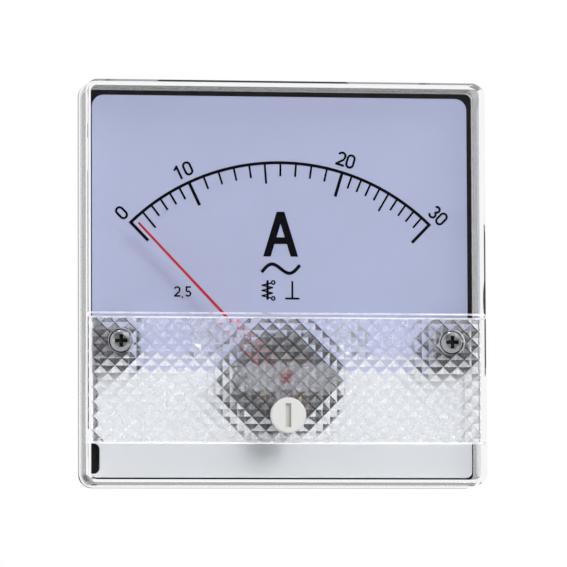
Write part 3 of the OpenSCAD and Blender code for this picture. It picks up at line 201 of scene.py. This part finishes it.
def acrylic(name, haze=None, rough=0.012):
    """Clear plastic. Light from lamps passes through it to what it covers.

    haze: a function of the tree that gives the share of white haze, or None. rough: the most roughness.
    """
    material, tree, output = new_material(name)
    shader = tree.nodes.new("ShaderNodeBsdfPrincipled")
    shader.inputs["Base Color"].default_value = CLEAR
    shader.inputs["IOR"].default_value = ACRYLIC_INDEX
    shader.inputs["Transmission Weight"].default_value = 1.0
    smears = noise(tree, SMEAR_GRAIN)
    tree.links.new(spread(tree, smears, LEAST_ROUGH * rough, rough), shader.inputs["Roughness"])
    body = shader.outputs["BSDF"]
    if haze:
        # Half of the haze takes light from what lies behind it, and half only adds its own.
        half = maths(tree, "MULTIPLY", haze(tree), 0.5)
        white = tree.nodes.new("ShaderNodeBsdfDiffuse")
        white.inputs["Color"].default_value = HAZE
        covering = tree.nodes.new("ShaderNodeMixShader")
        tree.links.new(half, covering.inputs["Fac"])
        tree.links.new(body, covering.inputs[1])
        tree.links.new(white.outputs["BSDF"], covering.inputs[2])
        faint = tree.nodes.new("ShaderNodeBsdfDiffuse")
        tree.links.new(blend(tree, half, (0, 0, 0, 1), HAZE), faint.inputs["Color"])
        hazy = tree.nodes.new("ShaderNodeAddShader")
        tree.links.new(covering.outputs["Shader"], hazy.inputs[0])
        tree.links.new(faint.outputs["BSDF"], hazy.inputs[1])
        body = hazy.outputs["Shader"]
    path = tree.nodes.new("ShaderNodeLightPath")
    passing = tree.nodes.new("ShaderNodeBsdfTransparent")
    passing.inputs["Color"].default_value = shade(CLEAR, PASSING)
    mix = tree.nodes.new("ShaderNodeMixShader")
    tree.links.new(path.outputs["Is Shadow Ray"], mix.inputs["Fac"])
    tree.links.new(body, mix.inputs[1])
    tree.links.new(passing.outputs["BSDF"], mix.inputs[2])
    tree.links.new(mix.outputs["Shader"], output.inputs["Surface"])
    return material


# ---- Prism band ----

# As in the CAD model: the band's top, bottom and middle, the side of its pyramids, and half the width
# of the window's rear face.
BAND_TOP, BAND_BOTTOM = -7 * MM, -31.5 * MM
BAND_Z = (BAND_TOP + BAND_BOTTOM) / 2
PYRAMID = 2 * MM
WINDOW_HALF = 38.6 * MM
# Haze on the facets that look down and on those that look up; the facets that look up towards the key lamp
# get more, a painted light on top of the real haze. At FACET_LOOK, the product of the Y and Z of a facet's
# normal, the haze is full.
FACET_HAZE_AND_PAINTED_LIGHT = (0.08, 0.33)
FACET_LOOK = 0.15
# Waves a metre of the mottling, and the share by which the haze on the facets varies.
MOTTLE_GRAIN = 900.0
MOTTLE = 0.35
# Each direction of valleys: how X and Z combine across it, the share of haze left in it, and half its width.
# Less haze in the valleys darkens them: painted shade. The share of that half width over which the least haze
# stays.
VALLEY_PAINTED_SHADE = (("ADD", 0.05, 0.24 * MM), ("SUBTRACT", 0.6, 0.16 * MM))
VALLEY_FLOOR = 0.4
# The white of the band's side edges, a painted highlight, and how far from them it starts and is full.
EDGE_PAINTED_HIGHLIGHT = 0.85
EDGE_START, EDGE_FULL = 0.3 * MM, 0.2 * MM
# The least and the most white haze of the moulded lines and counterbores: a painted highlight.
LINE_PAINTED_HIGHLIGHT = (0.6, 0.75)


def band_haze_and_painted_light(tree):
    """Haze on the pyramids, with painted light: more on facets that look up as if lit, less in the valleys as
    painted shade, most at the band's sides as a painted highlight.
    """
    coordinates = tree.nodes.new("ShaderNodeTexCoord")
    place = tree.nodes.new("ShaderNodeSeparateXYZ")
    tree.links.new(coordinates.outputs["Object"], place.inputs["Vector"])
    geometry = tree.nodes.new("ShaderNodeNewGeometry")
    facing = tree.nodes.new("ShaderNodeSeparateXYZ")
    tree.links.new(geometry.outputs["True Normal"], facing.inputs["Vector"])
    upward = maths(tree, "MULTIPLY", facing.outputs["Y"], facing.outputs["Z"])
    haze = ramp(tree, upward, -FACET_LOOK, FACET_LOOK, *FACET_HAZE_AND_PAINTED_LIGHT)
    haze = maths(tree, "MULTIPLY", haze, spread(tree, noise(tree, MOTTLE_GRAIN), 1 - MOTTLE, 1 + MOTTLE))
    height = maths(tree, "SUBTRACT", place.outputs["Z"], BAND_Z)
    # Painted shade: the haze drops along both directions of valleys.
    for operation, left, width in VALLEY_PAINTED_SHADE:
        across = maths(tree, operation, place.outputs["X"], height)
        across = maths(tree, "MULTIPLY", across, math.sqrt(0.5))
        valley = maths(tree, "PINGPONG", across, PYRAMID / 2)
        haze = maths(tree, "MULTIPLY", haze, ramp(tree, valley, VALLEY_FLOOR * width, width, left, 1.0))
    # Painted highlight: white haze along the band's side edges.
    side = maths(tree, "ABSOLUTE", place.outputs["X"])
    edge = ramp(tree, side, WINDOW_HALF - EDGE_START, WINDOW_HALF - EDGE_FULL, 0.0, EDGE_PAINTED_HIGHLIGHT)
    return maths(tree, "MAXIMUM", haze, edge)


def line_haze_painted_highlight(tree):
    """White haze on the sides of the moulded lines and counterbores: a painted highlight where they catch the
    light.
    """
    return spread(tree, noise(tree, MOTTLE_GRAIN, 2.0), *LINE_PAINTED_HIGHLIGHT)


# ---- Materials of the CAD nodes ----

turned_brass = surface("turned_brass", srgb(214, 182, 112), 0.28, metal=1.0, grain=2500, depth=0.004 * MM)
zinc = surface("zinc_plate", srgb(196, 197, 200), 0.3, metal=1.0, grain=1800, depth=0.006 * MM, vary=0.1)

MATERIALS = {
    acrylic("clear_acrylic"): ["front_cover"],
    surface("white_plastic", srgb(250, 250, 248), 0.4, grain=1200, vary=0.008): ["zero_adjuster"],
    surface("white_shield", srgb(226, 228, 230), 0.55, vary=0.01): ["lower_shield"],
    surface("black_plastic", srgb(9, 9, 13), 0.5, gloss=0.1, grain=2200, depth=0.02 * MM, vary=0.15): [
        "case"],
    surface("black_phenolic", srgb(14, 14, 20), 0.5, vary=0.15, gloss=0.08): ["movement_frame"],
    surface("dial_lacquer", srgb(178, 184, 214), 0.6, grain=4000, depth=0.006 * MM, vary=0.015): [
        "dial_plate"],
    surface("dial_ink", srgb(4, 4, 9), 0.7, grain=4000, vary=0.1, gloss=0.02): ["dial_print"],
    zinc: [
        "cover_screws", "adjuster_clip", "dial_screws", "frame_screws", "rear_bridge_screws", "yoke_rivets",
        "stop_pins"],
    surface("dull_zinc", srgb(112, 113, 116), 0.55, metal=0.5, vary=0.1): ["bridge_screws"],
    surface("nickel_plate", srgb(190, 190, 188), 0.24, metal=1.0, stretch=(1, 20, 20), depth=0.004 * MM): [
        "rear_bridge", "magnet_yoke", "spindle", "terminal_washers", "lug_washers"],
    surface("dull_nickel", srgb(122, 122, 126), 0.5, metal=0.7, vary=0.1): [
        "front_bridge", "bridge_pillars", "front_lock_nut", "lever_washer", "zero_lever"],
    surface("spring_steel", srgb(128, 128, 132), 0.34, metal=1.0, vary=0.12): ["lug_spring_washers"],
    turned_brass: [
        "spring_collet", "balance_weights", "rear_jewel_screw", "rear_lock_nut", "hairspring",
        "terminal_nuts", "lug_nuts"],
    surface("red_varnish", srgb(108, 32, 26), 0.4, vary=0.15, coat=0.1): ["front_jewel_screw"],
    surface("jewel_stone", srgb(170, 20, 50), 0.1, vary=0.1, coat=0.6): ["front_jewel", "rear_jewel"],
    surface("pointer_lacquer", srgb(196, 10, 16), 0.5, vary=0.04, gloss=0.2): ["pointer"],
    surface("soft_iron", srgb(120, 121, 124), 0.45, metal=1.0, vary=0.12): ["moving_iron", "fixed_iron"],
    surface("nylon", srgb(222, 214, 190), 0.5, vary=0.03): ["coil_former"],
    surface("enamelled_copper", srgb(168, 84, 40), 0.25, metal=0.6, vary=0.1, coat=0.5): ["coil_winding"],
    surface("disc_aluminium", srgb(210, 211, 214), 0.35, metal=1.0, stretch=(1, 1, 12)): ["damping_disc"],
    surface("ferrite", srgb(58, 58, 64), 0.6, metal=0.3, vary=0.12): ["damping_magnets"],
    surface("tinned_copper", srgb(198, 192, 186), 0.3, metal=1.0, vary=0.08): ["coil_lugs"],
}

for material, names in MATERIALS.items():
    for name in names:
        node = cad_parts[name]
        node.data.materials.clear()
        node.data.materials.append(material)

# ---- Materials of single faces ----


def dress(node, material, chosen):
    """Gives a material to the faces of a node for which chosen(centre, normal) is true."""
    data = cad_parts[node].data
    data.materials.append(material)
    for face in data.polygons:
        if chosen(face.center, face.normal):
            face.material_index = len(data.materials) - 1


# The front of the cover, the rear of its window, and over the depths of the pyramids and the moulded lines.
FRONT_Y, WINDOW_Y = -12 * MM, -10 * MM
PYRAMID_DEPTH = 0.6 * MM
LINE_DEPTH = 0.4 * MM
# The Y of a sloping face's normal, and the least Z of a moulded line's.
SLOPE_LOW, SLOPE_HIGH = 0.5, 0.98
LINE_SLOPE = 0.6
# The cross in the cover's screws, which gets painted shade: its reach as a share of the head's radius, and
# the depths between which it lies.
CROSS_SHARE = 0.65
CROSS_TOP, CROSS_FLOOR = 0.05 * MM, 1.1 * MM
# The cover's counterbores: the radii between which their walls lie, and the most Y of their normals.
COUNTERBORE_LOW, COUNTERBORE_HIGH = 2.3 * MM, 2.6 * MM
COUNTERBORE_Y = 0.3
# The adjuster's slot, whose walls and floor get painted shade: over half its width, and the depths between
# which its walls and its floor lie.
SLOT_REACH = 0.7 * MM
SLOT_TOP, SLOT_WALL, SLOT_FLOOR = 0.1 * MM, 0.7 * MM, 0.9 * MM
# The most Y of a wall's normal, and the least of a floor's.
WALL_Y, FLOOR_Y = 0.1, 0.9


def on_facet(centre, normal):
    """The band's pyramids, in the window's rear face."""
    in_band = BAND_BOTTOM < centre.z < BAND_TOP and abs(centre.x) < WINDOW_HALF
    return in_band and WINDOW_Y - PYRAMID_DEPTH < centre.y < WINDOW_Y and SLOPE_LOW < normal.y < SLOPE_HIGH


def on_line(centre, normal):
    """The sloping sides of the bead and of the fine line, in the window's front face."""
    sloping = SLOPE_LOW < -normal.y < SLOPE_HIGH and abs(normal.z) > LINE_SLOPE
    return sloping and centre.y < FRONT_Y + LINE_DEPTH and abs(centre.z) < WINDOW_HALF


SCREW_LOW, SCREW_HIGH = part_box("cover_screws")
HEAD_R = (SCREW_HIGH.z - SCREW_LOW.z) / 2
ADJUSTER_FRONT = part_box("zero_adjuster")[0].y


def from_screw(centre):
    """The distance from the axis of the nearer cover screw."""
    x = abs(centre.x) - (SCREW_HIGH.x - HEAD_R)
    return math.hypot(x, centre.z - (SCREW_HIGH.z + SCREW_LOW.z) / 2)


def in_cross(centre, normal):
    """The driver recess in each cover screw, painted dark grey as its shade."""
    return from_screw(centre) < CROSS_SHARE * HEAD_R and CROSS_TOP < centre.y - SCREW_LOW.y < CROSS_FLOOR


def in_counterbore(centre, normal):
    """The walls of the cover's counterbores round the screws' heads."""
    return COUNTERBORE_LOW < from_screw(centre) < COUNTERBORE_HIGH and abs(normal.y) < COUNTERBORE_Y


def in_slot(centre, normal):
    """The walls of the adjuster's slot, painted a darker grey as their shade."""
    depth = centre.y - ADJUSTER_FRONT
    return abs(centre.x) < SLOT_REACH and SLOT_TOP < depth < SLOT_WALL and abs(normal.y) < WALL_Y


def slot_floor_painted_shade(centre, normal):
    """The floor of the adjuster's slot, painted a little darker as its shade."""
    depth = centre.y - ADJUSTER_FRONT
    return abs(centre.x) < SLOT_REACH and SLOT_WALL < depth < SLOT_FLOOR and -normal.y > FLOOR_Y


# The band's pyramids: real haze plus painted light on the facets, painted shade in the valleys and a painted
# highlight at the sides.
dress("front_cover", acrylic("band_acrylic_painted_light", band_haze_and_painted_light, 0.32), on_facet)
# The moulded lines and the counterbore walls get white haze as a painted highlight.
dress("front_cover", acrylic("line_acrylic_painted_highlight", line_haze_painted_highlight), on_line)
dress("front_cover", acrylic("bore_acrylic_painted_highlight", line_haze_painted_highlight), in_counterbore)
# The cross recess in the cover screws gets a dark grey that is painted shade.
dress("cover_screws", surface("recess_painted_shade", srgb(40, 44, 44), 0.6, metal=0.4), in_cross)
# The slot's walls and floor get greys darker than the adjuster's white plastic: painted shade.
dress("zero_adjuster", surface("slot_wall_painted_shade", srgb(212, 214, 208), 0.6), in_slot)
dress("zero_adjuster", surface("slot_floor_painted_shade", srgb(226, 227, 221), 0.6), slot_floor_painted_shade)


# ---- Threaded studs ----

# Points round a stud, and rings for each turn of its thread.
AROUND = 48
ROWS_A_TURN = 6
# The thread's depth as a share of its pitch, and its end's chamfer as a share of that depth.
THREAD_DEPTH = 0.55
CHAMFER = 0.8
# The M3 studs: side and thickness of the head, radius and end of the shoulder, radius and pitch of the
# thread.
MOUNT_HEAD, MOUNT_HEAD_T = 5.4 * MM, 0.95 * MM
SHOULDER_R, SHOULDER_END = 1.8 * MM, -0.05 * MM
M3_R, M3_PITCH = 1.5 * MM, 0.5 * MM
# The M6 studs: thickness of the head, radius and pitch of the thread.
TERMINAL_HEAD_T = 3.2 * MM
M6_R, M6_PITCH = 3 * MM, MM


def ring_of(mesh, centre, y, radius, sides, turn=0.0):
    """A ring of vertices about a line along Y. radius: a number, or a function of the share of a turn."""
    verts = []
    for i in range(sides):
        share = i / sides
        r = radius(share) if callable(radius) else radius
        a = 2 * math.pi * share + turn
        verts.append(mesh.verts.new((centre[0] + r * math.cos(a), y, centre[1] + r * math.sin(a))))
    return verts


def skin(mesh, rings):
    """Joins rings of equal length into a closed form."""
    for low, high in zip(rings, rings[1:]):
        for i in range(len(low)):
            j = (i + 1) % len(low)
            mesh.faces.new((low[i], high[i], high[j], low[j]))
    mesh.faces.new(rings[0])
    mesh.faces.new(list(reversed(rings[-1])))


def threaded_rod(mesh, centre, start, end, radius, pitch):
    """A rod whose side is a V thread with its crests at the radius, and a chamfered end."""
    depth = THREAD_DEPTH * pitch
    rows = round((end - start) / pitch * ROWS_A_TURN)

    def side(row):
        y = start + (end - start) * row / rows
        chamfer = max(0.0, CHAMFER * depth - (end - y))

        def at(share):
            phase = (row / ROWS_A_TURN + share) % 1.0
            return radius - max(depth * (1 - abs(2 * phase - 1)), chamfer)

        return ring_of(mesh, centre, y, at, AROUND)

    skin(mesh, [side(row) for row in range(rows + 1)])


def stud_piece(name, node, build, material):
    """A piece made by build(mesh) that stands for a node of the housing."""
    mesh = bmesh.new()
    build(mesh)
    bmesh.ops.recalc_face_normals(mesh, faces=mesh.faces)
    data = bpy.data.meshes.new(name)
    mesh.to_mesh(data)
    mesh.free()
    data.materials.append(material)
    piece = bpy.data.objects.new(name, data)
    bpy.context.scene.collection.objects.link(piece)
    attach(piece, "housing")
    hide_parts(node)


def mounting(mesh):
    """Four M3 studs, each with a square head and a shoulder in the case's flange."""
    low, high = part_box("mounting_studs")
    corner = MOUNT_HEAD / math.sqrt(2)
    head_back = low.y + MOUNT_HEAD_T
    for sx in (-1, 1):
        for sz in (-1, 1):
            centre = (sx * (high.x - MOUNT_HEAD / 2), sz * (high.z - MOUNT_HEAD / 2))
            skin(mesh, [ring_of(mesh, centre, y, corner, 4, math.pi / 4) for y in (low.y, head_back)])
            skin(mesh, [ring_of(mesh, centre, y, SHOULDER_R, AROUND) for y in (head_back, SHOULDER_END)])
            threaded_rod(mesh, centre, SHOULDER_END, high.y, M3_R, M3_PITCH)


def terminals(mesh):
    """Two M6 studs, each with a hexagon head inside the case."""
    low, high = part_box("terminal_studs")
    flats = high.z - low.z
    corner = flats / 2 / math.cos(math.pi / 6)
    height = (high.z + low.z) / 2
    head_back = low.y + TERMINAL_HEAD_T
    for side in (-1, 1):
        centre = (side * (high.x - corner), height)
        skin(mesh, [ring_of(mesh, centre, y, corner, 6) for y in (low.y, head_back)])
        threaded_rod(mesh, centre, head_back, high.y, M6_R, M6_PITCH)


stud_piece("mounting_stud_threads", "mounting_studs", mounting, zinc)
stud_piece("terminal_stud_threads", "terminal_studs", terminals, turned_brass)


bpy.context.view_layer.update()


# ---- Studio ----

# Half the floor's side, and how far it lies below the meter.
FLOOR_HALF = 1.5
FLOOR_DROP = 0.16

floor_mesh = bmesh.new()
bmesh.ops.create_grid(floor_mesh, x_segments=1, y_segments=1, size=FLOOR_HALF)
bmesh.ops.translate(floor_mesh, verts=floor_mesh.verts, vec=(0, 0, size_before[0].z - FLOOR_DROP))
floor_data = bpy.data.meshes.new("floor")
floor_mesh.to_mesh(floor_data)
floor_mesh.free()
floor_data.materials.append(surface("floor_paper", srgb(236, 236, 236), 0.9, grain=300, vary=0.01))
floor = bpy.data.objects.new("floor", floor_data)
bpy.context.scene.collection.objects.link(floor)


def softbox(name, place, side, power):
    """A square area lamp at a place, aimed at the middle of the meter."""
    lamp = bpy.data.lights.new(name, "AREA")
    lamp.shape = "SQUARE"
    lamp.size, lamp.energy = side, power
    piece = bpy.data.objects.new(name, lamp)
    piece.location = place
    piece.rotation_mode = "QUATERNION"
    piece.rotation_quaternion = (-Vector(place)).to_track_quat("-Z", "Y")
    bpy.context.scene.collection.objects.link(piece)


softbox("key", (0.45, -1.0, 0.62), 0.45, 6.1)
softbox("fill", (-0.9, -0.9, 0.1), 0.9, 1.7)

# The surroundings are white to the camera, and grey to what they light softly. To what mirrors them and to
# what lets light pass they are bright behind the meter and dark in front. Mirrored, they are also dark below.
SOFT_LIGHT = 0.37
MIRRORED_FRONT, MIRRORED_BEHIND, MIRRORED_BELOW = 0.02, 0.6, 0.12
PASSED_FRONT, PASSED_BEHIND = 0.1, 1.0
# The direction's Y where the front ends and where the back starts, and its Z over which the light drops.
FRONT_ENDS, BACK_STARTS = -0.75, -0.15
HORIZON = 0.03
world = bpy.data.worlds.new("studio")
bpy.context.scene.world = world
world.use_nodes = True
tree = world.node_tree
tree.nodes.clear()
output = tree.nodes.new("ShaderNodeOutputWorld")
direction = tree.nodes.new("ShaderNodeTexCoord")
axes = tree.nodes.new("ShaderNodeSeparateXYZ")
tree.links.new(direction.outputs["Generated"], axes.inputs["Vector"])


def sky(strength):
    """A white background; its strength is a number or a socket."""
    node = tree.nodes.new("ShaderNodeBackground")
    node.inputs["Color"].default_value = (1, 1, 1, 1)
    if isinstance(strength, float):
        node.inputs["Strength"].default_value = strength
    else:
        tree.links.new(strength, node.inputs["Strength"])
    return node.outputs["Background"]


def from_behind(front, back):
    """A strength that grows from the front of the meter to behind it."""
    return ramp(tree, axes.outputs["Y"], FRONT_ENDS, BACK_STARTS, front, back)


above_table = ramp(tree, axes.outputs["Z"], -HORIZON, HORIZON, MIRRORED_BELOW, 1.0)
mirrored = maths(tree, "MULTIPLY", from_behind(MIRRORED_FRONT, MIRRORED_BEHIND), above_table)
path = tree.nodes.new("ShaderNodeLightPath")
shown = sky(SOFT_LIGHT)
for ray, light in (
    ("Is Glossy Ray", sky(mirrored)),
    ("Is Transmission Ray", sky(from_behind(PASSED_FRONT, PASSED_BEHIND))),
    ("Is Camera Ray", sky(1.0)),
):
    choice = tree.nodes.new("ShaderNodeMixShader")
    tree.links.new(path.outputs[ray], choice.inputs["Fac"])
    tree.links.new(shown, choice.inputs[1])
    tree.links.new(light, choice.inputs[2])
    shown = choice.outputs["Shader"]
tree.links.new(shown, output.inputs["Surface"])

# A long lens a metre away, a little to the viewer's left and below, looking up at the middle of the front.
distance = 1.024
yaw, pitch, roll = math.radians(8.6), math.radians(4.24), math.radians(-0.23)
forward = Vector((math.sin(yaw) * math.cos(pitch), math.cos(yaw) * math.cos(pitch), math.sin(pitch)))
camera = bpy.data.cameras.new("camera")
camera.lens = 331.7
camera.sensor_width = 36
camera.shift_x = -0.0071
camera.shift_y = -0.0022
camera.clip_start, camera.clip_end = 0.05, 20
camera_piece = bpy.data.objects.new("camera", camera)
camera_piece.location = Vector((0.0, FRONT_Y, 0.0)) - forward * distance
camera_piece.rotation_mode = "QUATERNION"
camera_piece.rotation_quaternion = forward.to_track_quat("-Z", "Y")
camera_piece.rotation_mode = "XYZ"
camera_piece.rotation_euler.rotate_axis("Z", roll)
bpy.context.scene.collection.objects.link(camera_piece)
bpy.context.scene.camera = camera_piece
bpy.context.scene.view_settings.view_transform = "Standard"
